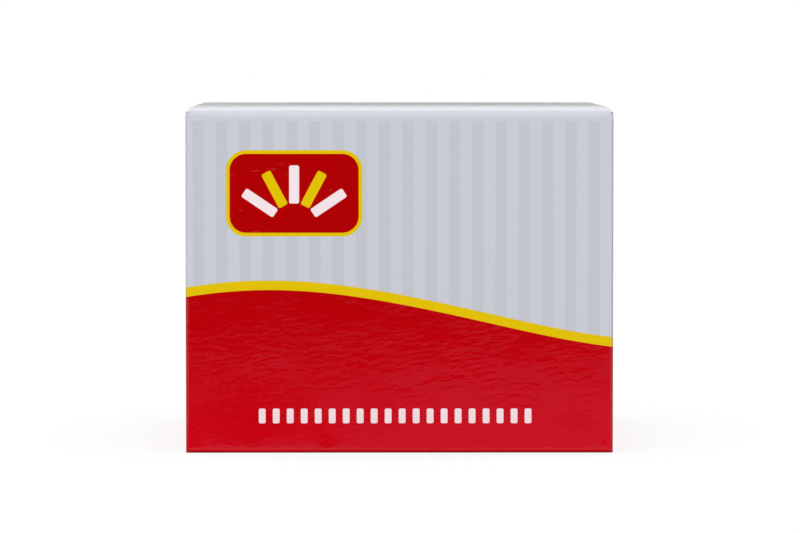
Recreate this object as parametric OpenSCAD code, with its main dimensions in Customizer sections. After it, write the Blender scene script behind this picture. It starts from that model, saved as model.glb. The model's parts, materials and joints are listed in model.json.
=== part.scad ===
// Carton of blackboard chalk.
// One creased board blank makes the carton and its tuck-in lid. The bottom is glued shut, and the
// chalk sticks stand upright inside in straight rows.
// Millimetres, +Z up, front wall towards -Y, origin at the middle of the underside.

/* [Chalk sticks] */
// Length of a stick
stick_length = 80; // [60:1:100]
// Diameter at the wide end, which stands on the carton's floor
stick_butt_d = 10.2; // [9:0.1:12.5]
// How much narrower the top end is, from the draft of the mould
stick_taper = 0.8; // [0.2:0.1:1.6]
// Bevel round both ends of a stick
stick_bevel = 0.4; // [0.2:0.1:1]
// Sticks side by side across the carton
columns = 10; // [8:1:14]
// Sticks from the front of the carton to the back
rows = 10; // [6:1:14]

/* [Board] */
// Thickness of the board
board = 0.5; // [0.35:0.05:0.7]
// Inside radius of every crease
crease_r = 0.4; // [0.25:0.05:0.6]

/* [Lid] */
// Depth of the flap that tucks in behind the front wall
tuck_depth = 16; // [10:1:22]
// Radius of the tuck flap's lower corners
tuck_corner_r = 9; // [3:0.5:10]
// Distance of each side edge of the lid from the carton's side
lid_inset = 0.6; // [0.5:0.1:1.5]
// Height of the lid's top above the front wall's cut edge
lid_proud = 1; // [0.7:0.1:1.2]
// Width of the sloping cut that frees each top corner of the front wall
corner_relief = 1.1; // [0.5:0.1:2]

/* [Flaps] */
// Reach of each dust flap under the lid
dust_flap = 32; // [20:1:36]
// Length of a dust flap's straight shoulder beside the tuck flap
dust_shoulder = 8; // [5:0.5:12]
// Bevel of a dust flap after its shoulder
dust_bevel = 6; // [3:0.5:10]
// Taper of a dust flap's rear edge, from its crease to its end
dust_taper = 4; // [2:0.5:8]
// Gap between the two inner flaps in the middle of the bottom
bottom_gap = 2; // [1:0.5:5]
// Width of the tab that glues the blank into a tube
tab_w = 14; // [10:1:20]
// Slope at both ends of the glue tab
tab_taper = 5; // [2:0.5:10]

/* [Clearances] */
// Gap between neighbouring sticks
stick_gap = 0.25; // [0.15:0.05:0.6]
// Gap between the outer sticks and the board beside them
wall_gap = 0.3; // [0.2:0.05:0.8]
// Height from the sticks' tops to the dust flaps
headspace = 3.5; // [1:0.1:6]
// Gap between the front wall and the tuck flap
tuck_gap = 0.3; // [0.2:0.05:0.5]
// Gap between a flap's cut edge and the wall that it folds past
flap_gap = 0.8; // [0.6:0.1:1.5]
// How far the edges of the outer bottom flaps and the dust flaps stand in from the tube's corners
flap_ease = 0.4; // [0.2:0.1:0.8]
// Gap between the lid and the dust flaps
lid_gap = 0.5; // [0.4:0.05:0.6]
// Gap between the dust flaps and the tuck flap as it swings past them
dust_gap = 0.3; // [0.2:0.05:0.8]
// Gap between the lid's hinge bead and the rear wall
hinge_gap = 0.08; // [0.05:0.01:0.15]

/* [Hidden] */

print_grey = [0.80, 0.81, 0.85];
chalk_white = [0.96, 0.96, 0.94];
curve_fn = 48;

crease_out = crease_r + board;
weld = 0.1;

// The pack of sticks.
pitch = stick_butt_d + stick_gap;
pack_w = columns * pitch - stick_gap;
pack_d = rows * pitch - stick_gap;

// The tuck flap leans back as it goes down, which keeps it inside the circle that the lid's front
// edge swings on. It then slides out past the front wall as the lid opens.
tuck_lean = asin(tuck_depth / (2 * pack_d));
tuck_back = tuck_depth * sin(tuck_lean);
tuck_space = tuck_gap + board + tuck_back + stick_gap;

// The tube, which leaves room at each side for the glue tab.
half_w = pack_w / 2 + wall_gap + 2 * board;
half_d = (wall_gap + pack_d + tuck_space) / 2 + board;
flat_x = half_w - crease_out;
flat_y = half_d - crease_out;
front_in = -half_d + board;
back_in = half_d - board;
seam_x = -half_w + board + crease_out;
edge_y = [front_in + flap_gap, back_in - flap_gap];
// A dust flap runs from its crease's front end to its rear edge. Its shoulder is further back: half-way
// down, the tuck flap swings a quarter of its lean further back than its own crease.
dust_y = [flap_ease - flat_y, edge_y[1]];
shoulder_y = front_in + tuck_gap + board + tuck_back / 4 + dust_gap;

// Heights, from the glued bottom's three layers up to the lid.
floor_z = 3 * board;
stick_top = floor_z + stick_length;
dust_under = stick_top + headspace;
dust_top = dust_under + board;
lid_under = dust_top + lid_gap;
height = lid_under + board;
front_top = height - lid_proud;
side_low = 2 * board + crease_out;
side_top = dust_top - crease_out;
back_low = board + crease_out;
back_top = height - 2 * board - hinge_gap;
corner_low = board;

// The lid's hinge line and the front edge that its tuck crease reaches.
hinge_y = half_d - board;
hinge_z = height - board;
lid_x = half_w - lid_inset;
lid_front = front_in + tuck_gap;
fold_y = lid_front + crease_out;
fold_z = height - crease_out;
tuck_x = half_w - board - flap_gap;
shoulder_x = (flat_x - tuck_x) / 2;

// A block of board between two values on each axis.
module slab(x, y, z) {
    translate([x[0], y[0], z[0]])
        cube([x[1] - x[0], y[1] - y[0], z[1] - z[0]]);
}

// Board bent round a crease that stands along Z, from one angle to another.
module crease(length, from, to) {
    rotate([0, 0, from])
        rotate_extrude(angle = to - from, $fn = curve_fn)
            translate([crease_r, 0])
                square([board, length]);
}

// A crease along X, starting at x, with its angles counted from +Y towards +Z.
module crease_x(x, y, z, length, from, to) {
    translate([x, y, z]) rotate([90, 0, 90]) crease(length, from, to);
}

// A crease along Y, ending at y, with its angles counted from +X towards +Z.
module crease_y(x, y, z, length, from, to) {
    translate([x, y, z]) rotate([90, 0, 0]) crease(length, from, to);
}

// An upright crease at a corner of the tube.
module corner(x, y, z, from) {
    translate([x, y, z[0]]) crease(z[1] - z[0], from, from + 90);
}

// The front wall, whose top edge slopes down at both ends to the level of the dust flaps' creases.
module front_wall() {
    translate([0, front_in, 0])
        rotate([90, 0, 0])
            linear_extrude(board)
                polygon([
                    [-flat_x, crease_out],
                    [flat_x, crease_out],
                    [flat_x, side_top],
                    [flat_x - corner_relief, front_top],
                    [corner_relief - flat_x, front_top],
                    [-flat_x, side_top]
                ]);
}

// The four walls and the creases between them. The left wall laps over the glue tab, and its cut
// edge stops short of the corner.
module walls() {
    front_wall();
    slab([seam_x, flat_x], [back_in, half_d], [back_low, back_top]);
    slab([half_w - board, half_w], [-flat_y, flat_y], [side_low, side_top]);
    slab([-half_w, -half_w + board], [-flat_y, edge_y[1]], [side_low, side_top]);
    corner(-flat_x, -flat_y, [corner_low, side_top], 180);
    corner(flat_x, -flat_y, [corner_low, side_top], 270);
    corner(flat_x, flat_y, [back_low, side_top], 0);
    corner(seam_x, flat_y, [side_low, side_top], 90);
}

// The tab on the rear wall, glued to the left wall's inside.
module glue_tab() {
    translate([-half_w + board, 0, 0])
        rotate([90, 0, 90])
            linear_extrude(board)
                polygon([
                    [flat_y, side_low],
                    [flat_y, side_top],
                    [flat_y - tab_w, side_top - tab_taper],
                    [flat_y - tab_w, side_low + tab_taper]
                ]);
}

// The glued bottom: an outer flap from the front wall, a full one from the rear wall on top of it,
// and innermost a flap from each side wall.
module bottom() {
    flap_x = flat_x - flap_ease;
    crease_x(-flat_x, -flat_y, crease_out, 2 * flat_x, 180, 270);
    slab([-flap_x, flap_x], [-flat_y, edge_y[1]], [0, board]);
    crease_x(seam_x, flat_y, back_low, flat_x - seam_x, 270, 360);
    slab([seam_x + flap_ease, flap_x], [edge_y[0], flat_y], [board, 2 * board]);
    crease_y(flat_x, edge_y[1], side_low, edge_y[1] - edge_y[0], 270, 360);
    crease_y(-flat_x, edge_y[1], side_low, edge_y[1] - edge_y[0], 180, 270);
    slab([bottom_gap / 2, flat_x], edge_y, [2 * board, floor_z]);
    slab([-flat_x, -bottom_gap / 2], edge_y, [2 * board, floor_z]);
}

// Outline of a dust flap, with its crease on the Y axis and its end towards +X. Its front edge steps
// back to the shoulder within half of the room beside the tuck flap.
module dust_outline() {
    reach = dust_flap - crease_out;
    polygon([
        [0, dust_y[0]],
        [shoulder_x, shoulder_y],
        [dust_shoulder, shoulder_y],
        [dust_shoulder + dust_bevel, shoulder_y + dust_bevel],
        [reach, shoulder_y + dust_bevel],
        [reach, dust_y[1] - dust_taper],
        [0, dust_y[1]]
    ]);
}

// The two flaps that the side walls fold in under the lid.
module dust_flaps() {
    for (side = [0, 1])
        mirror([side, 0, 0]) {
            crease_y(-flat_x, dust_y[1], side_top, dust_y[1] - dust_y[0], 90, 180);
            translate([-flat_x, 0, dust_under])
                linear_extrude(board)
                    dust_outline();
        }
}

module carton() {
    color(print_grey) {
        walls();
        glue_tab();
        bottom();
        dust_flaps();
    }
}

// Outline of the tuck flap, hanging down from the end of its crease, where the X axis is. Its top
// edge reaches a little into the crease, which makes them one solid.
module tuck_outline() {
    round_x = tuck_x - tuck_corner_r;
    round_y = tuck_corner_r - tuck_depth;
    intersection() {
        translate([-tuck_x, -tuck_depth])
            square([2 * tuck_x, tuck_depth + weld]);
        union() {
            translate([-tuck_x, round_y])
                square([2 * tuck_x, tuck_depth]);
            translate([-round_x, -tuck_depth])
                square([2 * round_x, tuck_depth]);
            for (x = [-round_x, round_x])
                translate([x, round_y])
                    circle(tuck_corner_r, $fn = curve_fn);
        }
    }
}

// The lid panel with its hinge bead at the rear, and at the front the crease and the tuck flap.
module lid() {
    color(print_grey) {
        slab([-lid_x, lid_x], [fold_y, hinge_y], [lid_under, height]);
        translate([-lid_x, hinge_y, hinge_z])
            rotate([0, 90, 0])
                cylinder(r = board, h = 2 * lid_x, $fn = curve_fn);
        crease_x(-lid_x, fold_y, fold_z, 2 * lid_x, 90, 180);
        translate([0, fold_y, fold_z])
            rotate([90 + tuck_lean, 0, 0])
                translate([0, 0, crease_r])
                    linear_extrude(board)
                        tuck_outline();
    }
}

// One moulded stick, standing on its wide end.
module stick() {
    butt_r = stick_butt_d / 2;
    tip_r = butt_r - stick_taper / 2;
    rotate_extrude($fn = curve_fn)
        polygon([
            [0, 0],
            [butt_r - stick_bevel, 0],
            [butt_r, stick_bevel],
            [tip_r, stick_length - stick_bevel],
            [tip_r - stick_bevel, stick_length],
            [0, stick_length]
        ]);
}

// One row of sticks across the carton. Row 1 is at the front.
module chalk_row(r) {
    first_x = (stick_butt_d - pack_w) / 2;
    first_y = front_in + tuck_space + stick_butt_d / 2;
    color(chalk_white)
        for (c = [0:columns - 1])
            translate([first_x + c * pitch, first_y + (r - 1) * pitch, floor_z])
                stick();
}

carton();
lid();
for (r = [1:rows])
    chalk_row(r);
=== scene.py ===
"""Looks of a carton of blackboard chalk: a creased, printed and laminated board blank, its tuck-in
lid, and a hundred moulded sticks. Lengths are in metres, with the front wall towards -Y."""

import json
import math

import bmesh
import bpy
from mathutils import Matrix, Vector, noise


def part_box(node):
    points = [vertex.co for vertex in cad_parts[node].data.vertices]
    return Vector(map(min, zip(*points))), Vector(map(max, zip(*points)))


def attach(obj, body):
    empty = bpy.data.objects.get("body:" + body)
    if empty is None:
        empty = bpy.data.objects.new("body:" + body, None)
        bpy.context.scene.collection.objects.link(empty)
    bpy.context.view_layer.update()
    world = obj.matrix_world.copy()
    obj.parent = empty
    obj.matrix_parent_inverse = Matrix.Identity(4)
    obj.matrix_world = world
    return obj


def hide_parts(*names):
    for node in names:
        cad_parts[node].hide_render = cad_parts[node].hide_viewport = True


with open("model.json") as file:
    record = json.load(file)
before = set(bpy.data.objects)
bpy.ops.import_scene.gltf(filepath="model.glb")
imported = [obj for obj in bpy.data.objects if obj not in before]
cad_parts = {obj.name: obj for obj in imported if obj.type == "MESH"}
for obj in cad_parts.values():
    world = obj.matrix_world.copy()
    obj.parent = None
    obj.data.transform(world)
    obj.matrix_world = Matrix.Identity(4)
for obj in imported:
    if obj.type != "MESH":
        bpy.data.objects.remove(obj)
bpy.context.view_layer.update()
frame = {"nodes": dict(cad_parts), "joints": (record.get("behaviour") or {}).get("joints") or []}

MM = 0.001
QUARTER = math.pi / 2
# Places this near count as the same.
HAIR = 1e-6

# --- Sizes from the frame ---------------------------------------------------------------------

carton_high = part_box("carton")[1]
lid_low, lid_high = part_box("lid")
ROW_NAME = "chalk_row_"
ROWS = [name for name in frame["nodes"] if name.startswith(ROW_NAME)]
row_low, row_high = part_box("chalk_row_1")
rear_row_high = max(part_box(row)[1].y for row in ROWS)
hinge = Vector(frame["joints"][0]["pos_m"])

half_w, half_d = carton_high.x, carton_high.y
board = half_d - hinge.y
carton_top = carton_high.z
lid_top = lid_high.z

# --- Sizes of the blank -----------------------------------------------------------------------

# Inside radius of a crease, and the strips that round it.
CREASE_IN, CREASE_STEPS = 0.4 * MM, 7
# Pitch of the grid of faces on a panel, the strip along its edges, and how near lines may lie.
GRID, SUPPORT, APART = 3 * MM, 0.3 * MM, 0.02 * MM
# Corners this near become one, shorter edges than the second length go, and edges that turn by
# more than the angle are sharp.
MERGE, SLIVER, SHARP = 0.005 * MM, 0.002 * MM, math.radians(40)
# Gaps beside a flap, beside its crease, under the lid's bead, and between the inner bottom flaps.
FLAP_GAP, FLAP_EASE, HINGE_GAP, BOTTOM_GAP = 0.8 * MM, 0.4 * MM, 0.08 * MM, 2 * MM
# The upright creases end this far above the floor.
CORNER_LOW = 0.08 * MM
# Width of the glue tab, and how far its ends slope.
TAB_W, TAB_TAPER = 14 * MM, 5 * MM
# Length of a dust flap, its shoulder and the bevel after it, and the taper of its rear edge.
DUST_FLAP, DUST_SHOULDER, DUST_BEVEL, DUST_TAPER = 32 * MM, 8 * MM, 6 * MM, 4 * MM
DUST_GAP = 0.3 * MM
TUCK_DEPTH, TUCK_CORNER_R, TUCK_CORNER_STEPS = 16 * MM, 9 * MM, 10
# The tuck flap leans back by the angle that keeps it inside the circle that the lid's front edge
# turns on.
TUCK_LEAN = math.asin(TUCK_DEPTH / (2 * (rear_row_high - row_low.y)))

crease_out = CREASE_IN + board
bend = QUARTER * crease_out
flat_x, flat_y = half_w - crease_out, half_d - crease_out
front_in, back_in = board - half_d, half_d - board
seam_x = board + crease_out - half_w
edge_y = (front_in + FLAP_GAP, back_in - FLAP_GAP)
back_low = board + crease_out
side_low = 2 * board + crease_out
side_top = carton_top - crease_out
back_top = hinge.z - board - HINGE_GAP
lid_x, lid_front = lid_high.x, lid_low.y
tuck_x = half_w - board - FLAP_GAP
dust_y = (FLAP_EASE - flat_y, edge_y[1])
# The dust flap's shoulder stands clear of the tuck flap, which swings back a quarter of its lean.
shoulder_x = (flat_x - tuck_x) / 2
shoulder_y = lid_front + board + TUCK_DEPTH * math.sin(TUCK_LEAN) / 4 + DUST_GAP
wall_pitch = flat_x + bend + flat_y
RIGHT_WALL, LEFT_WALL, REAR_WALL = wall_pitch, -wall_pitch, 2 * wall_pitch

# --- How the made-up board strays from its drawing ---------------------------------------------

# Each wall is pressed in a little at its middle, and unevenly. A wall belongs to the front or the
# rear where its outward direction lies this far along Y.
BOW, RIPPLE, RIPPLE_LENGTH, FACING = 0.1 * MM, 0.05 * MM, 24 * MM, 0.5
# The front wall's cut edge leans back, evenly at first and then easing into the wall. The lean
# also fades out beside the upright creases.
LEAN_EDGE, LEAN_HEIGHT, LEAN_ANGLE = 1.1 * MM, 2.2 * MM, math.radians(9)
LEAN_FADE = 4 * MM
# The relief cuts start a little way round the upright creases, the right one lower down.
RELIEF_START, RELIEF_WIDTH = 0.35 * MM, 0.8 * MM
LEFT_RELIEF, RIGHT_RELIEF = 0.5 * MM, 0.7 * MM
# The lid falls away steeply at its front corners, and gently over its front part.
CORNER_DROOP, CORNER_POWER = 0.2 * MM, 5
FRONT_DROOP, FRONT_SHARE = 0.2 * MM, 0.42
# A small knock low on the front wall: its place, its reach, its soft edge and its slope.
KNOCK_PLACE, KNOCK_R, KNOCK_EDGE, KNOCK_SLOPE = (51 * MM, 2.7 * MM), 1.1 * MM, 0.4 * MM, 0.05

# --- The print ----------------------------------------------------------------------------------

# Places are on the flat sheet: along the walls from the front wall's middle, and up from its foot.
# How many stripes a wall has, their pitch and width, and where on it they start and end.
STRIPES, STRIPE_PITCH, STRIPE_WIDTH = 18, 5.81 * MM, 2.85 * MM
FIRST_STRIPE, STRIPE_TOP = -51.6 * MM, 83 * MM
# The wave's mean height, its yellow band, and the height and crest of each of its swells.
WAVE_MEAN, WAVE_BAND = 35.5 * MM, 2.38 * MM
WAVE_SWELLS = ((7.33 * MM, -33.3 * MM), (0.46 * MM, -16.2 * MM), (0.23 * MM, 27.4 * MM))
# The badge: its middle, its size, the radius of its corners, and its rim.
BADGE_PLACE, BADGE_SIZE = (-26.3 * MM, 65 * MM), (34 * MM, 21.5 * MM)
BADGE_R, BADGE_RIM = 5 * MM, 0.9 * MM
# Its fan: the sticks' angles, how far the pivot lies below its middle and each stick's middle
# from the pivot, and the size of a stick.
FAN_ANGLES = [math.radians(angle) for angle in (-56, -28, 0, 28, 56)]
FAN_PIVOT, FAN_REACH = 8.2 * MM, 10.4 * MM
FAN_STICK, FAN_STICK_R = (2.5 * MM, 9.5 * MM), 0.5 * MM
# The row of small sticks near the foot: its middle, length and pitch, and the size of a stick.
MARKS_PLACE, MARKS_LENGTH, MARKS_PITCH = (-1.1 * MM, 9.3 * MM), 70 * MM, 3.5 * MM
MARK, MARK_R = (1.7 * MM, 3.7 * MM), 0.4 * MM
# Painted light from the floor: the red is brighter towards the foot, from this height down.
FLOOR_LIGHT_REACH = 70 * MM
# The middle of the lid on the sheet, well above the walls, and half the length of its stripes.
LID_SHEET, LID_STRIPES = 200 * MM, 49.5 * MM
# Ink runs this far past a crease onto a flap that is hidden, and spreads a little at its edges.
BLEED, INK_SPREAD = 6 * MM, 0.05 * MM


def srgb(red, green, blue):
    """A colour given in 0 to 255 display steps, as linear light."""
    def linear(step):
        share = step / 255
        return share / 12.92 if share < 0.04045 else ((share + 0.055) / 1.055) ** 2.4
    return (linear(red), linear(green), linear(blue), 1)


PLAIN_GREY = srgb(200, 203, 211)
STRIPE_GREY = srgb(193, 196, 204)
RED = srgb(174, 0, 2)
# The red as painted light from the floor makes it near the foot.
FLOOR_LIT_RED = srgb(206, 0, 20)
YELLOW = srgb(224, 192, 4)
INK_WHITE = srgb(243, 226, 230)
# The highlight painted on the lid's front crease.
CREASE_HIGHLIGHT = srgb(240, 241, 245)
# The shade painted on the lower creases.
FOOT_SHADE = srgb(58, 10, 14)
# The shade painted on the upright creases.
CREASE_SHADE = srgb(90, 76, 82)
BARE_COATING = srgb(216, 214, 208)
RAW_BOARD = srgb(186, 180, 170)
RAW_FIBRE = srgb(152, 143, 131)
CUT_BOARD = srgb(184, 176, 168)
CHALK = srgb(232, 231, 226)
CHALK_SHADE = srgb(212, 210, 203)


# --- Node trees -------------------------------------------------------------------------------

class Wire:
    """A node's output. Arithmetic on a number adds Math nodes."""

    def __init__(self, graph, socket):
        self.graph, self.socket = graph, socket

    def output(self, name):
        """Another output of the same node."""
        return Wire(self.graph, self.socket.node.outputs[name])

    def math(self, operation, *others):
        inputs = dict(enumerate((self, *others)))
        return self.graph.node("ShaderNodeMath", {"operation": operation}, inputs)

    def __add__(self, other):
        return self.math("ADD", other)

    def __sub__(self, other):
        return self.math("SUBTRACT", other)

    def __rsub__(self, other):
        return self.graph.node("ShaderNodeMath", {"operation": "SUBTRACT"}, {0: other, 1: self})

    def __mul__(self, other):
        return self.math("MULTIPLY", other)

    def __truediv__(self, other):
        return self.math("DIVIDE", other)

    def __mod__(self, other):
        return self.math("FLOORED_MODULO", other)

    def __lt__(self, other):
        return self.math("LESS_THAN", other)

    def __gt__(self, other):
        return self.math("GREATER_THAN", other)

    def __abs__(self):
        return self.math("ABSOLUTE")

    __radd__ = __add__
    __rmul__ = __mul__


class Graph:
    """Adds nodes to one tree."""

    def __init__(self, tree):
        self.tree = tree

    def node(self, kind, settings=None, inputs=None, output=0):
        """Adds a node: its settings first, then its inputs by name or number. Gives one output."""
        node = self.tree.nodes.new(kind)
        for name, value in (settings or {}).items():
            setattr(node, name, value)
        for name, value in (inputs or {}).items():
            if isinstance(value, Wire):
                self.tree.links.new(value.socket, node.inputs[name])
            else:
                node.inputs[name].default_value = value
        return Wire(self, node.outputs[output]) if node.outputs else None

    def mix(self, factor, low, high):
        """A colour between two."""
        return self.node("ShaderNodeMix", {"data_type": "RGBA"},
                         {0: factor, 6: low, 7: high}, output=2)

    def noise(self, vector, scale, detail=2, roughness=0.5):
        """Noise from 0 to 1, whose scale is how many lumps lie along a unit of the vector."""
        return self.node("ShaderNodeTexNoise", {},
                         {"Vector": vector, "Scale": scale, "Detail": detail,
                          "Roughness": roughness}, output="Fac")

    def grain(self, vector, lengths, angle=0):
        """A place on axes turned by an angle, in units of the given lengths."""
        return self.node("ShaderNodeMapping", {"vector_type": "TEXTURE"},
                         {"Vector": vector, "Scale": lengths, "Rotation": (0, 0, angle)})

    def bump(self, height):
        """A normal turned by a relief whose height is in metres."""
        return self.node("ShaderNodeBump", {}, {"Height": height, "Distance": 1.0})

    def finish(self, colour, roughness, height, specular=0.5):
        """An opaque shader with a relief."""
        return self.node("ShaderNodeBsdfPrincipled", {},
                         {"Base Color": colour, "Roughness": roughness,
                          "Specular IOR Level": specular, "Normal": self.bump(height)})


def material(name, build):
    """A material whose nodes are added by build, which gives its shader."""
    made = bpy.data.materials.new(name)
    made.use_nodes = True
    made.node_tree.nodes.clear()
    graph = Graph(made.node_tree)
    graph.node("ShaderNodeOutputMaterial", {}, {"Surface": build(graph)})
    return made


def clamped(wire):
    """A number held between 0 and 1."""
    return wire.math("MINIMUM", 1).math("MAXIMUM", 0)


def fade(value, start, full):
    """0 at the start and before it, 1 where it is full and beyond, and even between them."""
    return clamped((value - start) / (full - start))


def blend(share, low, high):
    """A number between two: the first where the share is 0, and the second where it is 1."""
    return share * (high - low) + low


def centred(place, pitch):
    """A place in a row of the given pitch, measured from the middle of its own part of the row."""
    return (place + pitch / 2) % pitch - pitch / 2


def inside(distance):
    """1 where a distance to an outline is below 0, with the slight spread of ink at its edge."""
    return clamped(0.5 - distance / INK_SPREAD)


def rounded_box(x, y, size, radius):
    """Distance to the outline of a box with round corners, centred on the origin."""
    over = [abs(part) - (length / 2 - radius) for part, length in zip((x, y), size)]
    outer = [part.math("MAXIMUM", 0) for part in over]
    reach = (outer[0] * outer[0] + outer[1] * outer[1]).math("SQRT")
    return reach + over[0].math("MAXIMUM", over[1]).math("MINIMUM", 0) - radius


def turned(x, y, angle):
    """Coordinates on axes turned by an angle."""
    cosine, sine = math.cos(angle), math.sin(angle)
    return x * cosine + y * sine, y * cosine - x * sine


# --- The printed board ------------------------------------------------------------------------

# A fade is given by where it starts and where it is full.
# A painted highlight makes the board paler from the front wall's top edge to just over the lid's
# front crease, where the fold turns up to the light.
HIGHLIGHT_START = (carton_top - 1.1 * MM, carton_top - 0.8 * MM)
HIGHLIGHT_END = (LID_SHEET - half_d + 4 * MM, LID_SHEET - half_d + 2 * MM)
HIGHLIGHT_SHARE = 0.22
# Painted shade darkens the upright creases from the foot to just below the top, across a line that
# is given in widths of the crease from its middle. The painted shade grows from nothing on the left
# wall to its full strength at the front wall's right crease, the side away from the fill light.
CREASE_SHADE_LINE, CREASE_SHADE_SIDE = (0.25, 1 / 12), (-7 / 6 * wall_pitch, wall_pitch / 2)
CREASE_SHADE_START, CREASE_SHADE_END = (-MM, 0), (carton_top - MM, carton_top - 3 * MM)
CREASE_SHADE_STRENGTH = 0.38
# Painted shade darkens the lower creases, where they turn under towards the floor, a little higher
# at the corners.
FOOT_SHADE_TO, FOOT_SHADE_CORNER, FOOT_SHADE_FADE = 0.4 * MM, 0.15 * MM, 0.25 * MM
FOOT_SHADE_START, FOOT_SHADE_STRENGTH = (-3 * MM, -2 * MM), 0.7
# The laminate's streaks: their size, slant and depth, the patches that they lie in, and how much
# of their depth is left between the patches, on the lid and at the right.
STREAK, STREAK_SLANT, STREAK_DEPTH = (3.4 * MM, 1.3 * MM, 1), math.radians(8), 0.1 * MM
STREAK_PATCH, STREAK_PATCH_EDGE = (14 * MM, 8 * MM, 1), (0.35, 0.6)
BETWEEN_PATCHES, LID_STREAKS, RIGHT_STREAKS = 0.25, 0.1, 0.5
# The laminate's slow waves and its clouds, so many to the metre, and the height of the waves.
SLOW_WAVES, SLOW_WAVE_HEIGHT, CLOUDS = 70, 0.06 * MM, 900
# Roughness of the laminate, in and out of its clouds, and what a bare flap adds.
LAMINATE_ROUGHNESS, BARE_ROUGHNESS, LAMINATE_SPECULAR = (0.04, 0.08), 0.35, 0.3
# The raw board's fibres, with its specks and its plies so many to the metre.
FIBRE, FIBRE_SHADE, FIBRE_DEPTH = (1.7 * MM, 0.4 * MM, 1), 0.6, 0.02 * MM
SPECKS, SPECK_EDGE, PLIES = 1500, (0.66, 0.785), 4000
RAW_ROUGHNESS, CUT_ROUGHNESS = (0.85, 0.75), (0.8, 0.95)


def sheet_place(graph):
    """Places on the flat sheet: as a vector, along the walls, and up."""
    spot = graph.node("ShaderNodeUVMap", {"uv_map": "sheet"})
    split = graph.node("ShaderNodeSeparateXYZ", {}, {"Vector": spot})
    return spot, split, split.output("Y")


def wave_height(along):
    """Upper edge of the printed wave, which closes on itself round the carton."""
    height = WAVE_MEAN
    for number, (swell, crest) in enumerate(WAVE_SWELLS, 1):
        turn = (along - crest) * (number * math.pi / wall_pitch)
        height = turn.math("COSINE") * swell + height
    return height


def stripes(along, up):
    """The darker stripes of each wall and of the lid."""
    place = (centred(along, wall_pitch) - FIRST_STRIPE) / STRIPE_PITCH
    in_row = (place > 0) * (place < STRIPES)
    striped = inside(up - STRIPE_TOP) + (abs(up - LID_SHEET) < LID_STRIPES)
    return (place % 1 < STRIPE_WIDTH / STRIPE_PITCH) * in_row * striped


def badge(graph, colour, x, y):
    """A red badge with a yellow rim and a fan of chalk sticks."""
    edge = rounded_box(x, y, BADGE_SIZE, BADGE_R)
    colour = graph.mix(inside(edge), colour, YELLOW)
    colour = graph.mix(inside(edge + BADGE_RIM), colour, RED)
    for number, angle in enumerate(FAN_ANGLES):
        across, out = turned(x, y + FAN_PIVOT, -angle)
        stick = rounded_box(across, out - FAN_REACH, FAN_STICK, FAN_STICK_R)
        colour = graph.mix(inside(stick), colour, YELLOW if number % 2 else INK_WHITE)
    return colour


def stick_row(x, y):
    """A row of small upright sticks."""
    place = (x + MARKS_LENGTH / 2) % MARKS_PITCH - MARKS_PITCH / 2
    stick = rounded_box(place, y, MARK, MARK_R)
    return inside(stick) * (abs(x) < MARKS_LENGTH / 2)


def unprinted(across, up):
    """1 on the flaps that stay hidden, past their bleed. The bottom flaps of the front and rear
    walls are printed all over."""
    on_top = (up > carton_top + BLEED) * (up < LID_SHEET - half_d - BLEED)
    under = (up < -BLEED) * (abs(across) > flat_x)
    return on_top + under


def painted_crease_shade(along, across, up):
    """How far painted shade darkens the upright creases."""
    off_crease = abs(abs(across) - flat_x - bend / 2) / bend
    shaded = fade(off_crease, *CREASE_SHADE_LINE) * fade(up, *CREASE_SHADE_START) * fade(up, *CREASE_SHADE_END)
    return shaded * fade(along, *CREASE_SHADE_SIDE) * CREASE_SHADE_STRENGTH


def painted_foot_shade(along, up):
    """How far painted shade darkens the lower creases, where they turn under towards the floor."""
    at_corner = abs(centred(along, wall_pitch)) > flat_x
    above = up - at_corner * FOOT_SHADE_CORNER - FOOT_SHADE_TO
    return fade(above, 0, -FOOT_SHADE_FADE) * fade(up, *FOOT_SHADE_START) * FOOT_SHADE_STRENGTH


def knock(along, up):
    """Depth of the knock, whose middle faces up a little."""
    across, above = along - KNOCK_PLACE[0], up - KNOCK_PLACE[1]
    reach = (across * across + above * above).math("SQRT")
    return fade(reach, KNOCK_R, KNOCK_R - KNOCK_EDGE) * above * KNOCK_SLOPE


def laminate_relief(graph, spot, along, up):
    """Height of the laminate's fine streaks and of its slow waves, less the knock."""
    streaks = graph.noise(graph.grain(spot, STREAK, STREAK_SLANT), 1)
    patches = graph.noise(graph.grain(spot, STREAK_PATCH), 1, detail=1)
    waves = graph.noise(spot, SLOW_WAVES)
    to_right = fade(along, -wall_pitch / 2, wall_pitch / 2)
    depth = (fade(patches, *STREAK_PATCH_EDGE) + BETWEEN_PATCHES) * STREAK_DEPTH
    depth = depth * blend(up > LID_SHEET - half_d, 1, LID_STREAKS)
    depth = depth * blend(to_right, 1, RIGHT_STREAKS)
    return streaks * depth + waves * SLOW_WAVE_HEIGHT - knock(along, up)


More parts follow.
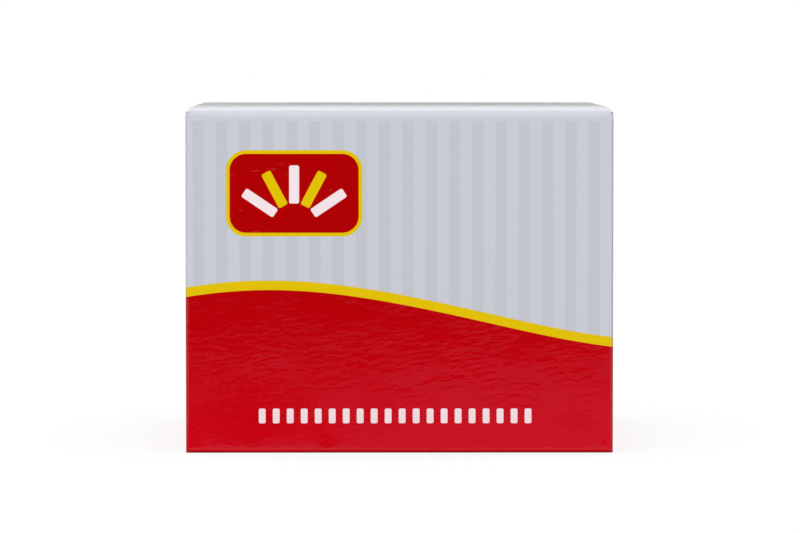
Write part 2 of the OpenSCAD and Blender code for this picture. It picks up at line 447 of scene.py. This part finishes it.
def printed_board(graph):
    """Gloss-laminated print: stripes on grey, the badge, red below a yellow wave, and the row of
    sticks,
    with painted light and shade: a highlight on the lid's front crease, shade along the creases,
    and light from the floor on the red near the foot."""
    spot, along, up = sheet_place(graph)
    across = centred(along, 2 * wall_pitch)
    wave = wave_height(along)
    colour = graph.mix(stripes(along, up), PLAIN_GREY, STRIPE_GREY)
    # Painted highlight over the lid's front crease.
    pale = fade(up, *HIGHLIGHT_START) * fade(up, *HIGHLIGHT_END)
    colour = graph.mix(pale * HIGHLIGHT_SHARE, colour, CREASE_HIGHLIGHT)
    colour = badge(graph, colour, along - BADGE_PLACE[0], up - BADGE_PLACE[1])
    colour = graph.mix(inside(up - wave), colour, YELLOW)
    # Painted light from the floor brightens the red near the foot.
    depth = fade(up, FLOOR_LIGHT_REACH, 0)
    red = graph.mix(depth * depth, RED, FLOOR_LIT_RED)
    colour = graph.mix(inside(up - wave + WAVE_BAND), colour, red)
    marks = stick_row(along - MARKS_PLACE[0], up - MARKS_PLACE[1])
    colour = graph.mix(marks, colour, INK_WHITE)
    # Painted shade along the upright creases.
    colour = graph.mix(painted_crease_shade(along, across, up), colour, CREASE_SHADE)
    # Painted shade along the lower creases.
    colour = graph.mix(painted_foot_shade(along, up), colour, FOOT_SHADE)
    bare = unprinted(across, up)
    colour = graph.mix(bare, colour, BARE_COATING)
    clouds = graph.noise(spot, CLOUDS)
    roughness = blend(clouds, *LAMINATE_ROUGHNESS) + bare * BARE_ROUGHNESS
    return graph.finish(colour, roughness, laminate_relief(graph, spot, along, up),
                        LAMINATE_SPECULAR)


def raw_board(graph):
    """The bare inside of the board, with its fibres and specks."""
    spot = sheet_place(graph)[0]
    fibre = graph.noise(graph.grain(spot, FIBRE), 1, detail=4, roughness=0.7)
    specks = fade(graph.noise(spot, SPECKS), *SPECK_EDGE)
    colour = graph.mix((fibre + specks) * FIBRE_SHADE, RAW_BOARD, RAW_FIBRE)
    return graph.finish(colour, blend(fibre, *RAW_ROUGHNESS), fibre * FIBRE_DEPTH)


def cut_edge(graph):
    """The board's cut edge: grey-brown plies."""
    place = graph.node("ShaderNodeTexCoord", output="Object")
    plies = graph.noise(place, PLIES)
    colour = graph.mix(plies, CUT_BOARD, RAW_FIBRE)
    return graph.finish(colour, blend(plies, *CUT_ROUGHNESS), plies * FIBRE_DEPTH)


BOARD_FACES = [material("printed board", printed_board), material("raw board", raw_board),
               material("cut edge", cut_edge)]


# --- The folded blank -------------------------------------------------------------------------

def stops(low, high, *marks):
    """Places from low to high: the grid's, the given marks', and a support beside each end."""
    inner = [low + SUPPORT, high - SUPPORT, *marks]
    inner += [GRID * k for k in range(math.ceil(low / GRID), math.floor(high / GRID) + 1)]
    spaced = [low]
    for place in sorted(place for place in inner if low < place < high):
        if place - spaced[-1] > APART:
            spaced.append(place)
    if high - spaced[-1] < APART:
        spaced.pop()
    return spaced + [high]


def between(places, low, high):
    """Those of the places that lie from low to high."""
    return [place for place in places if low - HAIR < place < high + HAIR]


def ramp(value, *corners):
    """Height of a line with the given corners, level beyond its ends."""
    height = corners[0][1]
    for (start, low), (end, high) in zip(corners, corners[1:]):
        height += (high - low) * min(1, max(0, (value - start) / (end - start)))
    return height


def along_path(steps, distance):
    """Point and heading at a distance along a path of straight runs and left turns, which starts
    at the origin towards +X. Each step is a length and the angle that it turns."""
    x = y = heading = 0
    for length, turn in steps:
        part = min(distance, length)
        if turn:
            radius = length / turn
            bent = heading + part / radius
            x += radius * (math.sin(bent) - math.sin(heading))
            y += radius * (math.cos(heading) - math.cos(bent))
            heading = bent
        else:
            x += part * math.cos(heading)
            y += part * math.sin(heading)
        distance -= part
        if distance <= 0:
            break
    return x, y, heading


def circle(sides, radius, height):
    """Corners of a level polygon round the Z axis."""
    turns = [2 * math.pi * k / sides for k in range(sides)]
    return [(radius * math.cos(turn), radius * math.sin(turn), height) for turn in turns]


def band(mesh, low, high):
    """Adds the faces between two rings of corners."""
    for k in range(len(low)):
        n = (k + 1) % len(low)
        mesh.faces.new([low[k], low[n], high[n], high[k]])


def added(name, mesh):
    """An object in the scene with a bmesh's shape."""
    made = bpy.data.objects.new(name, bpy.data.meshes.new(name))
    mesh.to_mesh(made.data)
    mesh.free()
    bpy.context.scene.collection.objects.link(made)
    return made


CORNER_TURNS = [bend * k / CREASE_STEPS for k in range(CREASE_STEPS + 1)]


class Blank:
    """Board cut flat and folded. Each panel is a grid of faces on the printed side, whose corners
    have a place in space and a place on the flat sheet."""

    def __init__(self):
        self.mesh = bmesh.new()
        self.sheet = self.mesh.loops.layers.uv.new("sheet")
        self.share = self.mesh.verts.layers.deform.verify()

    def panel(self, columns, rows, place, thickness=1.0):
        """Adds a panel. place gives each corner's point in space and spot on the sheet."""
        grid = []
        for column in columns:
            corners = [place(column, row) for row in rows]
            grid.append([(self.mesh.verts.new(point), spot) for point, spot in corners])
            for vertex, _ in grid[-1]:
                vertex[self.share][0] = thickness
        for left, right in zip(grid, grid[1:]):
            for k in range(len(rows) - 1):
                self.face([left[k], right[k], right[k + 1], left[k + 1]])

    def face(self, corners):
        """Adds a face that turns the same way on the sheet as every other one."""
        spots = [Vector(spot) for _, spot in corners]
        first, second = spots[2] - spots[0], spots[3] - spots[1]
        if first.cross(second) < 0:
            corners = corners[::-1]
        face = self.mesh.faces.new([vertex for vertex, _ in corners])
        for loop, (_, spot) in zip(face.loops, corners):
            loop[self.sheet].uv = spot

    def piece(self, name):
        """Joins the panels, gives the board its thickness, and makes the finished object."""
        bmesh.ops.remove_doubles(self.mesh, verts=self.mesh.verts, dist=MERGE)
        bmesh.ops.dissolve_degenerate(self.mesh, edges=self.mesh.edges, dist=SLIVER)
        made = added(name, self.mesh)
        for face_material in BOARD_FACES:
            made.data.materials.append(face_material)
        wall = made.modifiers.new("board", "SOLIDIFY")
        wall.thickness, wall.offset = board, -1
        wall.material_offset, wall.material_offset_rim = 1, 2
        wall.vertex_group = made.vertex_groups.new(name="thickness").name
        return finished(made)


def finished(made):
    """Applies an object's modifiers, and shades it smooth between its sharp edges."""
    evaluated = made.evaluated_get(bpy.context.evaluated_depsgraph_get())
    rough = made.data
    made.data = bpy.data.meshes.new_from_object(evaluated)
    made.modifiers.clear()
    made.vertex_groups.clear()
    bpy.data.meshes.remove(rough)
    made.data.name = made.name
    mesh = bmesh.new()
    mesh.from_mesh(made.data)
    for face in mesh.faces:
        face.smooth = True
    for edge in mesh.edges:
        edge.smooth = edge.is_manifold and edge.calc_face_angle(0) < SHARP
    mesh.to_mesh(made.data)
    mesh.free()
    return made


# --- The carton -------------------------------------------------------------------------------

RIGHT_WAY = [(flat_x, 0), (bend, QUARTER), (2 * flat_y, 0), (bend, QUARTER),
             (flat_x - seam_x, 0), (bend, QUARTER), (TAB_W, 0)]
LEFT_WAY = [(flat_x, 0), (bend, QUARTER), (flat_y + edge_y[1], 0)]
LEAN_BACK = math.tan(LEAN_ANGLE)


def round_tube(along):
    """Point and outward direction on the tube, at a distance from the middle of the front wall."""
    x, y, heading = along_path(RIGHT_WAY if along >= 0 else LEFT_WAY, abs(along))
    side = 1 if along >= 0 else -1
    outward = Vector((side * math.sin(heading), -math.cos(heading), 0))
    return Vector((side * x, y - half_d, 0)), outward


def lean(along, up):
    """How far the front wall leans back at a height."""
    depth = up - carton_top + LEAN_HEIGHT
    easing = LEAN_HEIGHT - LEAN_EDGE
    back = min(depth, easing) ** 2 / (2 * easing) + max(0, depth - easing)
    return LEAN_BACK * back * min(1, (flat_x - abs(along)) / LEAN_FADE)


def wall_point(along, up):
    """A point of the tube and its spot on the sheet. Walls are pressed in between their creases."""
    base, outward = round_tube(along)
    half_width = flat_x if abs(outward.y) > FACING else flat_y
    across = max(0, 1 - (centred(along, wall_pitch) / half_width) ** 2)
    rise = max(0, 4 * up / carton_top * (1 - up / carton_top))
    ripple = noise.noise(Vector((along, up, 0)) / RIPPLE_LENGTH) * RIPPLE
    inward = across * rise * (BOW + ripple)
    if abs(along) < flat_x and up > carton_top - LEAN_HEIGHT:
        inward += lean(along, up)
    return base + Vector((0, 0, up)) - outward * inward, (along, up)


def front_point(along, up):
    """A point of the front wall or its upright creases, whose top slopes at the relief cuts."""
    low = carton_top - (RIGHT_RELIEF if along > 0 else LEFT_RELIEF)
    cut = ramp(flat_x + RELIEF_START - abs(along), (0, 0), (RELIEF_WIDTH, 1))
    return wall_point(along, min(up, low + (up - low) * cut) if up > low else up)


def flap_point(along, reach, crease_z, up):
    """A point of a flap folded in at a wall's end. reach is measured over the crease from where it
    starts at height crease_z, and up is 1 for a top flap and -1 for a bottom one."""
    base, outward = round_tube(along)
    over, inwards, _ = along_path([(bend, QUARTER), (2 * half_d, 0)], reach)
    point = base - outward * inwards + Vector((0, 0, crease_z + up * over))
    return point, (along, crease_z + up * reach)


def fold(blank, columns, crease_z, up, length, ease=0.0):
    """A crease over all the columns, and beyond it the flap, whose edges stand in by the ease."""
    def place(along, reach):
        return flap_point(along, reach, crease_z, up)

    blank.panel(columns, CORNER_TURNS, place)
    kept = between(columns, columns[0] + ease, columns[-1] - ease)
    blank.panel(kept, [bend + reach for reach in stops(0, length)], place)


def dust_flap(blank, middle, way, side_columns):
    """A flap under the lid. way is 1 where the sheet's distance grows towards the rear."""
    length = DUST_FLAP - crease_out
    step = shoulder_y - dust_y[0]

    def place(along, reach):
        over = reach - bend
        front = ramp(over, (0, 0), (shoulder_x, step), (DUST_SHOULDER, step),
                     (DUST_SHOULDER + DUST_BEVEL, step + DUST_BEVEL))
        rear = ramp(over, (0, 0), (length, DUST_TAPER))
        share = (way * (along - middle) - dust_y[0]) / (dust_y[1] - dust_y[0])
        y = dust_y[0] + front + share * (dust_y[1] - dust_y[0] - front - rear)
        return flap_point(middle + way * y, reach, side_top, 1)

    columns = sorted(middle + way * y for y in between(side_columns, *dust_y))
    reaches = stops(0, length, shoulder_x, DUST_SHOULDER, DUST_SHOULDER + DUST_BEVEL)
    blank.panel(columns, CORNER_TURNS + [bend + reach for reach in reaches[1:]], place)


def carton_blank():
    """Four walls, the glue tab, the glued bottom and the two dust flaps."""
    blank = Blank()
    heights = stops(0, carton_top, CORNER_LOW, crease_out, back_low, side_low, side_top, back_top,
                    carton_top - LEAN_EDGE, carton_top - LEAN_HEIGHT,
                    carton_top - (LEAN_EDGE + LEAN_HEIGHT) / 2)

    def tube(low, high, columns, place=wall_point):
        levels = [z for z in heights if low + HAIR < z < high - HAIR]
        blank.panel(columns, [low, *levels, high], place)

    flap_x = flat_x - FLAP_EASE
    relief_end = flat_x + RELIEF_START - RELIEF_WIDTH
    front_columns = stops(-flat_x, flat_x, -flap_x, flap_x, -relief_end, relief_end)
    side_columns = stops(-flat_y, flat_y, *edge_y, dust_y[0])
    rear_columns = stops(REAR_WALL - flat_x, REAR_WALL - seam_x, REAR_WALL - flap_x,
                         REAR_WALL - seam_x - FLAP_EASE)
    left_columns = between(side_columns, -flat_y, edge_y[1])
    tube(crease_out, carton_top, front_columns, front_point)
    tube(side_low, side_top, [RIGHT_WALL + y for y in side_columns])
    tube(back_low, back_top, rear_columns)
    tube(side_low, side_top, [LEFT_WALL - y for y in left_columns])

    # Upright creases.
    relief_turns = sorted(CORNER_TURNS + [RELIEF_START])
    tube(CORNER_LOW, carton_top, [flat_x + turn for turn in relief_turns], front_point)
    tube(CORNER_LOW, carton_top, [-flat_x - turn for turn in relief_turns], front_point)
    tube(back_low, side_top, [RIGHT_WALL + flat_y + turn for turn in CORNER_TURNS])
    tube(side_low, side_top, [REAR_WALL - seam_x + turn for turn in CORNER_TURNS])

    # Glue tab, whose ends slope to its edge.
    tab_start = REAR_WALL - seam_x + bend

    def tab_point(along, up):
        middle = (side_low + side_top) / 2
        taper = TAB_TAPER * (along - tab_start) / TAB_W
        return wall_point(along, middle + (up - middle) * (1 - 2 * taper / (side_top - side_low)))

    blank.panel(stops(tab_start, tab_start + TAB_W), stops(side_low, side_top), tab_point)

    # Flaps, the outermost first.
    fold(blank, front_columns, crease_out, -1, flat_y + edge_y[1], FLAP_EASE)
    fold(blank, rear_columns, back_low, -1, flat_y - edge_y[0], FLAP_EASE)
    for middle, way in ((RIGHT_WALL, 1), (LEFT_WALL, -1)):
        columns = sorted(middle + way * y for y in between(side_columns, *edge_y))
        fold(blank, columns, side_low, -1, flat_x - BOTTOM_GAP / 2)
        dust_flap(blank, middle, way, side_columns)
    return blank


# --- The lid ----------------------------------------------------------------------------------

# The rear crease is a bead, over which the board is a little thinner.
BEAD_STEPS, BEAD_WALL = 12, 0.8
TUCK_STEPS = 6
# The front crease is a slant between two tight bends, over which the board is pressed thin.
LID_FOLD, LID_BEND_R, FOLD_WALL = 1.1 * MM, 0.35 * MM, 0.6
tight = LID_BEND_R * QUARTER / 2
fold_y = lid_front + LID_FOLD
slant = (LID_FOLD - LID_BEND_R) * math.sqrt(2)
FOLD_WAY = [(tight, QUARTER / 2), (slant, 0), (tight, QUARTER / 2)]
FOLD_STOPS = [0, tight / 2, tight, tight + slant / 2, tight + slant, 1.5 * tight + slant,
              2 * tight + slant]


def droop(x, y):
    """How far the lid's face lies below its highest place."""
    share = (y - fold_y) / (hinge.y - fold_y)
    corner = CORNER_DROOP * abs(x / lid_x) ** CORNER_POWER * (1 - share)
    return corner + FRONT_DROOP * max(0, 1 - share / FRONT_SHARE) ** 2


def lid_point(x, y):
    """A point of the lid's face."""
    return Vector((x, y, lid_top - droop(x, y))), (x, LID_SHEET + y)


def bead_point(x, angle):
    """A point of the rear crease, at an angle from its top."""
    point = Vector((x, hinge.y + board * math.sin(angle), hinge.z + board * math.cos(angle)))
    return point, (x, LID_SHEET + hinge.y + board * angle)


def tuck_point(x, reach):
    """A point of the front crease or the tuck flap. reach is measured down from the lid panel."""
    way = [*FOLD_WAY, (crease_out * TUCK_LEAN, TUCK_LEAN), (2 * TUCK_DEPTH, 0)]
    over, down, _ = along_path(way, reach)
    top = lid_top - droop(x, fold_y)
    return Vector((x, fold_y - over, top - down)), (x, LID_SHEET + fold_y - reach)


def tuck_depth(x):
    """Depth of the tuck flap, whose lower corners are round."""
    beyond = max(0, abs(x) - tuck_x + TUCK_CORNER_R)
    return TUCK_DEPTH - TUCK_CORNER_R + math.sqrt(max(0, TUCK_CORNER_R ** 2 - beyond ** 2))


def lid_blank():
    """The lid panel with its rear crease, and in front its crease and the tuck flap."""
    blank = Blank()
    arc = [tuck_x - TUCK_CORNER_R * (1 - math.sin(QUARTER * k / TUCK_CORNER_STEPS))
           for k in range(TUCK_CORNER_STEPS + 1)]
    columns = stops(-lid_x, lid_x, *arc, *[-x for x in arc])
    blank.panel(columns, stops(fold_y, hinge.y), lid_point)
    blank.panel(columns, [math.pi * k / BEAD_STEPS for k in range(BEAD_STEPS + 1)], bead_point,
                thickness=BEAD_WALL)
    blank.panel(columns, FOLD_STOPS, tuck_point, thickness=FOLD_WALL)
    blank.panel(between(columns, -tuck_x, tuck_x), [k / TUCK_STEPS for k in range(TUCK_STEPS + 1)],
                lambda x, share: tuck_point(x, FOLD_STOPS[-1] + share * tuck_depth(x)))
    return blank


# --- The chalk sticks --------------------------------------------------------------------------

STICK_SIDES = 24
STICK_TAPER, STICK_BEVEL, DISH = 0.8 * MM, 0.4 * MM, 0.15 * MM
STICK_GAP = 0.25 * MM
# The largest share of a stick's length that wear takes, and the dents that handling leaves.
WEAR, DENT_DEPTH, DENTS = 0.006, 0.08 * MM, 260
# What a row's seed is raised by to draw each stick's turn and its length.
TURN_SEED, LENGTH_SEED = 0, 100
# The chalk's clouds, grain and air holes, so many to the metre, with their relief and their shade,
# which in the holes is painted shade.
CHALK_CLOUDS, CHALK_GRAIN, CHALK_HOLES = 90, 2600, 900
HOLE_EDGE, GRAIN_HEIGHT, HOLE_DEPTH = (0.68, 0.7514), 0.02 * MM, 0.12 * MM
CLOUD_SHADE, HOLE_SHADE, UNSHADED = 0.9, 0.5, 0.15
CHALK_ROUGHNESS, CHALK_SPECULAR = (0.86, 0.98), 0.2
stick_length = row_high.z - row_low.z
butt_r = (row_high.y - row_low.y) / 2
stick_pitch = 2 * butt_r + STICK_GAP
row_count = round((row_high.x - row_low.x + STICK_GAP) / stick_pitch)


def chalk(graph):
    """Cast chalk: matt and dusty, with fine pits and a few larger air holes."""
    place = graph.node("ShaderNodeTexCoord", output="Object")
    clouds = graph.noise(place, CHALK_CLOUDS, detail=3, roughness=0.6)
    grain = graph.noise(place, CHALK_GRAIN, roughness=0.6)
    holes = fade(graph.noise(place, CHALK_HOLES, detail=1), *HOLE_EDGE)
    # The air holes are painted darker, as painted shade in them.
    shade = clamped(clouds * CLOUD_SHADE + holes * HOLE_SHADE - UNSHADED)
    colour = graph.mix(shade, CHALK, CHALK_SHADE)
    relief = grain * GRAIN_HEIGHT - holes * HOLE_DEPTH
    return graph.finish(colour, blend(grain, *CHALK_ROUGHNESS), relief, CHALK_SPECULAR)


def stick_pattern():
    """One stick with its wide end at the origin, round edges, and ends that are slightly dished."""
    def edge_profile(height, radius, way):
        """Height and radius of the rings from an end's dish to the side."""
        rounds = [(height + way * STICK_BEVEL * (1 - math.cos(angle)),
                   radius - STICK_BEVEL * (1 - math.sin(angle)))
                  for angle in (0, QUARTER / 2, QUARTER)]
        return [(height + way * DISH, radius / 2), *rounds]

    tip_r = butt_r - STICK_TAPER / 2
    profile = edge_profile(0, butt_r, 1)
    profile += edge_profile(stick_length, tip_r, -1)[::-1]
    mesh = bmesh.new()
    rings = [[mesh.verts.new(point) for point in circle(STICK_SIDES, radius, height)]
             for height, radius in profile]
    for low, high in zip(rings, rings[1:]):
        band(mesh, low, high)
    mesh.faces.new(rings[0][::-1])
    mesh.faces.new(rings[-1])
    return added("stick_pattern", mesh)


def row_tree():
    """Node tree that stands a row of sticks. Each is turned and shortened by chance, and dented."""
    tree = bpy.data.node_groups.new("row of sticks", "GeometryNodeTree")
    tree.interface.new_socket("Row", in_out="OUTPUT", socket_type="NodeSocketGeometry")
    for name, kind in (("Pattern", "Object"), ("Count", "Int"), ("Pitch", "Float"),
                       ("Start", "Vector"), ("Seed", "Int"), ("Wear", "Float"),
                       ("Dent depth", "Float"), ("Finish", "Material")):
        tree.interface.new_socket(name, in_out="INPUT", socket_type="NodeSocket" + kind)
    graph = Graph(tree)
    given = graph.node("NodeGroupInput")
    seed = given.output("Seed")

    def chance(low, high, offset):
        return graph.node("FunctionNodeRandomValue", {"data_type": "FLOAT"},
                          {2: low, 3: high, 8: seed + offset}, output=1)

    def vector(x, y, z):
        return graph.node("ShaderNodeCombineXYZ", {}, {0: x, 1: y, 2: z})

    line = graph.node("GeometryNodeMeshLine", {},
                      {"Count": given.output("Count"), "Start Location": given.output("Start"),
                       "Offset": vector(given.output("Pitch"), 0, 0)})
    stick = graph.node("GeometryNodeObjectInfo", {}, {"Object": given.output("Pattern")},
                       output="Geometry")
    sticks = graph.node("GeometryNodeInstanceOnPoints", {},
                        {"Points": line, "Instance": stick,
                         "Rotation": vector(0, 0, chance(0, 2 * math.pi, TURN_SEED)),
                         "Scale": vector(1, 1, chance(1 - given.output("Wear"), 1, LENGTH_SEED))})
    whole = graph.node("GeometryNodeRealizeInstances", {}, {"Geometry": sticks})
    dents = graph.node("ShaderNodeTexNoise", {"noise_dimensions": "4D"},
                       {"W": seed, "Scale": DENTS, "Detail": 1}, output="Fac")
    inwards = graph.node("ShaderNodeVectorMath", {"operation": "SCALE"},
                         {0: graph.node("GeometryNodeInputNormal"),
                          "Scale": (0 - given.output("Dent depth")) * dents})
    dented = graph.node("GeometryNodeSetPosition", {}, {"Geometry": whole, "Offset": inwards})
    finish = graph.node("GeometryNodeSetMaterial", {},
                        {"Geometry": dented, "Material": given.output("Finish")})
    graph.node("NodeGroupOutput", {}, {"Row": finish})
    return tree


def add_rows():
    """A piece for each row of sticks."""
    pattern, tree = stick_pattern(), row_tree()
    finish = material("chalk", chalk)
    sockets = {item.name: item.identifier for item in tree.interface.items_tree}
    for node in ROWS:
        number = int(node.removeprefix(ROW_NAME))
        low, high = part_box(node)
        made = bpy.data.objects.new(f"chalk_sticks_{number}", bpy.data.meshes.new("row"))
        bpy.context.scene.collection.objects.link(made)
        rule = made.modifiers.new("row", "NODES")
        rule.node_group = tree
        start = (low.x + butt_r, (low.y + high.y) / 2, low.z)
        for name, value in (("Pattern", pattern), ("Count", row_count), ("Pitch", stick_pitch),
                            ("Start", start), ("Seed", number), ("Wear", WEAR),
                            ("Dent depth", DENT_DEPTH), ("Finish", finish)):
            rule[sockets[name]] = value
        finished(made)
        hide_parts(node)
        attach(made, "carton")
    bpy.data.objects.remove(pattern)


# --- Camera, light and stage ------------------------------------------------------------------

# Angles are in degrees, and the lens and its sensor in millimetres.
CAMERA_PLACE, CAMERA_DOWN, CAMERA_RIGHT = (-0.0059, -1.098, 0.0993), 2.883, 0.33
LENS, SENSOR, FARTHEST = 188.4, 36, 100
WHITE, PAPER = (1, 1, 1, 1), (0.92, 0.92, 0.92, 1)
SKY_LIGHT = 0.8
RING_SIDES = 96
FLOOR_R, FLOOR_HOLE = 12, 0.0005
# How white the camera sees the floor close by, and the distances over which it becomes all white.
FLOOR_WHITE, FLOOR_FADE = 0.8, (0.2, 0.7)
# Only reflections see the desk, a card just above the floor. Its parts are given by how they glow
# and by fades over distances ahead of the front wall.
DESK_R, DESK_HOLE, DESK_LIFT = 3.2, 0.01, 0.0003
DARK, DESK_GLOW, SIDE_GLOW, NEAR_GLOW = 0.01, 0.5, 0.8, 1.2
NEAR_START, NEAR_END = (0, 0.003), (0.017, 0)
# The far part is broken into patches, and tinted so that its glare leaves the red print red.
FAR_START, FAR_END, DESK_TINT = (0.008, 0.02), (0.38, 0.32), (1, 0.62, 1, 1)
PATCH, PATCH_LEVEL, PATCH_BLUR = (0.014, 0.12, 1), 0.36, 1 / 18
# To the left it has fewer patches, and for a stretch only a share of its glow.
LEFT, LEFT_THINNER, LEFT_GLOW = (-0.005, -0.035), 0.12, 0.1
DIM_START, DIM_END = (0.02, 0.04), (0.19, 0.11)
# The pale sides start this far from the middle, and stand further apart towards the front.
SIDE, SIDE_SPREAD, SIDE_START = (0.07, 0.1), 0.25, (0, 0.02)
# Only reflections see the screen round the desk. Behind the object it is grey, and pale higher up.
SCREEN_R, SCREEN_STEP, SCREEN_TOP = 3, 0.14, 0.32
SCREEN_GREY, SCREEN_PALE = 0.26, 0.78


def lamp(name, place, target, size, power):
    """A square soft light aimed at a point."""
    data = bpy.data.lights.new(name, "AREA")
    data.shape, data.size, data.energy = "SQUARE", size, power
    made = bpy.data.objects.new(name, data)
    made.location = place
    made.rotation_euler = (Vector(target) - Vector(place)).to_track_quat("-Z", "Y").to_euler()
    bpy.context.scene.collection.objects.link(made)


def add_camera():
    """The camera, in front and a little above the carton's top."""
    data = bpy.data.cameras.new("camera")
    data.lens, data.sensor_width, data.clip_end = LENS, SENSOR, FARTHEST
    camera = bpy.data.objects.new("camera", data)
    camera.location = CAMERA_PLACE
    camera.rotation_euler = (math.radians(90 - CAMERA_DOWN), 0, -math.radians(CAMERA_RIGHT))
    bpy.context.scene.collection.objects.link(camera)
    bpy.context.scene.camera = camera


def ring(name, inner, outer, low, high, shader):
    """A flat or upright ring of the stage."""
    mesh = bmesh.new()
    edges = [[mesh.verts.new(point) for point in circle(RING_SIDES, radius, height)]
             for radius, height in ((outer, high), (inner, low))]
    band(mesh, *edges)
    made = added(name, mesh)
    made.data.materials.append(material(name, shader))
    return made


def only_in_gloss(made):
    """Hides a card from all but reflections."""
    made.visible_camera = made.visible_diffuse = made.visible_shadow = False
    made.visible_transmission = made.visible_volume_scatter = False


def floor_shader(graph):
    """Pale paper, which shows as plain white to the camera further from the object."""
    place = graph.node("ShaderNodeTexCoord", output="Object")
    distance = graph.node("ShaderNodeVectorMath", {"operation": "LENGTH"}, {0: place},
                          output="Value")
    far = fade(distance, *FLOOR_FADE)
    seen = graph.node("ShaderNodeLightPath", output="Is Camera Ray")
    paper = graph.node("ShaderNodeBsdfDiffuse", {}, {"Color": PAPER})
    white = graph.node("ShaderNodeEmission", {}, {"Color": WHITE, "Strength": 1.0})
    return graph.node("ShaderNodeMixShader", {},
                      {0: seen * blend(far, FLOOR_WHITE, 1), 1: paper, 2: white})


def desk_shader(graph):
    """The desk as the walls mirror it: pale close by, patchy and then dark further to the front,
    and pale at both sides."""
    place = graph.node("ShaderNodeTexCoord", output="Object")
    aside = graph.node("ShaderNodeSeparateXYZ", {}, {"Vector": place})
    ahead = 0 - aside.output("Y") - half_d
    beyond = (abs(aside) - half_w).math("MAXIMUM", ahead)
    near = fade(ahead, *NEAR_START) * fade(beyond, *NEAR_END)
    side = fade(abs(aside) - ahead * SIDE_SPREAD, *SIDE) * fade(ahead, *SIDE_START)
    left = fade(aside, *LEFT)
    dim = left * fade(ahead, *DIM_START) * fade(ahead, *DIM_END)
    patches = graph.noise(graph.grain(place, PATCH), 1) - left * LEFT_THINNER
    far = fade(patches, PATCH_LEVEL - PATCH_BLUR, PATCH_LEVEL + PATCH_BLUR)
    far = far * fade(ahead, *FAR_START) * fade(ahead, *FAR_END)
    glow = far * blend(dim, DESK_GLOW, DESK_GLOW * LEFT_GLOW) + near * NEAR_GLOW
    glow = glow.math("MAXIMUM", side * SIDE_GLOW) + DARK
    tint = graph.mix(clamped(near + side), DESK_TINT, WHITE)
    return graph.node("ShaderNodeEmission", {}, {"Color": tint, "Strength": glow})


def screen_shader(graph):
    """What lies round the desk: grey and then pale behind the object, and dark in front of it."""
    place = graph.node("ShaderNodeTexCoord", output="Object")
    split = graph.node("ShaderNodeSeparateXYZ", {}, {"Vector": place})
    behind = split.output("Y") > 0
    upper = (split.output("Z") > SCREEN_STEP) * (SCREEN_PALE - SCREEN_GREY)
    return graph.node("ShaderNodeEmission", {}, {"Strength": (upper + SCREEN_GREY) * behind + DARK})


def add_world():
    """White where it is seen or mirrored, and a little lower as light."""
    world = bpy.data.worlds.new("studio")
    bpy.context.scene.world = world
    world.use_nodes = True
    world.node_tree.nodes.clear()
    graph = Graph(world.node_tree)
    camera = graph.node("ShaderNodeLightPath", output="Is Camera Ray")
    glossy, through = (camera.output(f"Is {kind} Ray") for kind in ("Glossy", "Transmission"))
    strength = blend(clamped(camera + glossy + through), SKY_LIGHT, 1)
    background = graph.node("ShaderNodeBackground", {}, {"Color": WHITE, "Strength": strength})
    graph.node("ShaderNodeOutputWorld", {}, {"Surface": background})


for piece, body in ((carton_blank().piece("carton_board"), "carton"),
                    (lid_blank().piece("lid_board"), "lid")):
    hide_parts(body)
    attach(piece, body)
add_rows()

add_camera()
add_world()
ring("floor", FLOOR_HOLE, FLOOR_R, 0, 0, floor_shader)
only_in_gloss(ring("desk_card", DESK_HOLE, DESK_R, DESK_LIFT, DESK_LIFT, desk_shader))
only_in_gloss(ring("screen", SCREEN_R, SCREEN_R, 0, SCREEN_TOP, screen_shader))
lamp("overhead", place=(0, -0.1, 1.3), target=(0, 0, 0), size=1.2, power=8)
lamp("front_fill", place=(-0.7, -1.5, 0.9), target=(0, 0, 0.05), size=1.2, power=2.6)
bpy.context.scene.view_settings.view_transform = "Standard"
